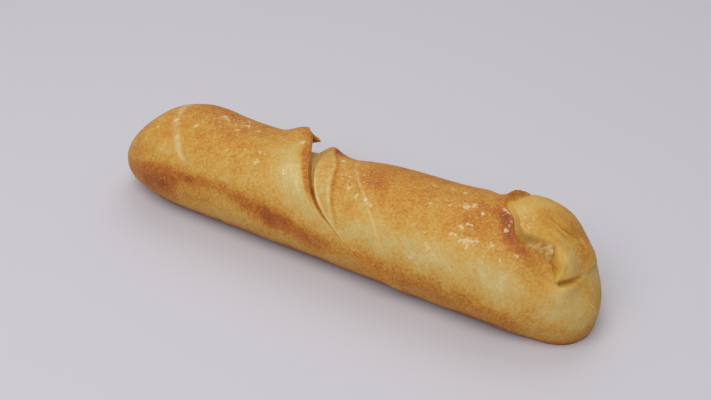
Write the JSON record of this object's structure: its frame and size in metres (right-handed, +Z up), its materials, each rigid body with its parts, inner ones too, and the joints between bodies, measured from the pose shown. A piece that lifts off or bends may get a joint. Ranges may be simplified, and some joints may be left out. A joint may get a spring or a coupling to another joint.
{
  "type": "salt bread roll",
  "caption": "Long slim salt bread roll, a wound strip of dough baked golden brown, with a slanting seam and an open winding at its end.",
  "frame": {"origin": "middle of the flat underside that the roll rests on, under the centre of its box", "axes": "+X along the roll towards the open end of the winding, +Y towards the back, +Z up"},
  "size_m": [0.19, 0.0442, 0.0366],
  "materials": {
    "crust": null
  },
  "bodies": {
    "root": {"bread_roll": "crust"}
  },
  "joints": []
}
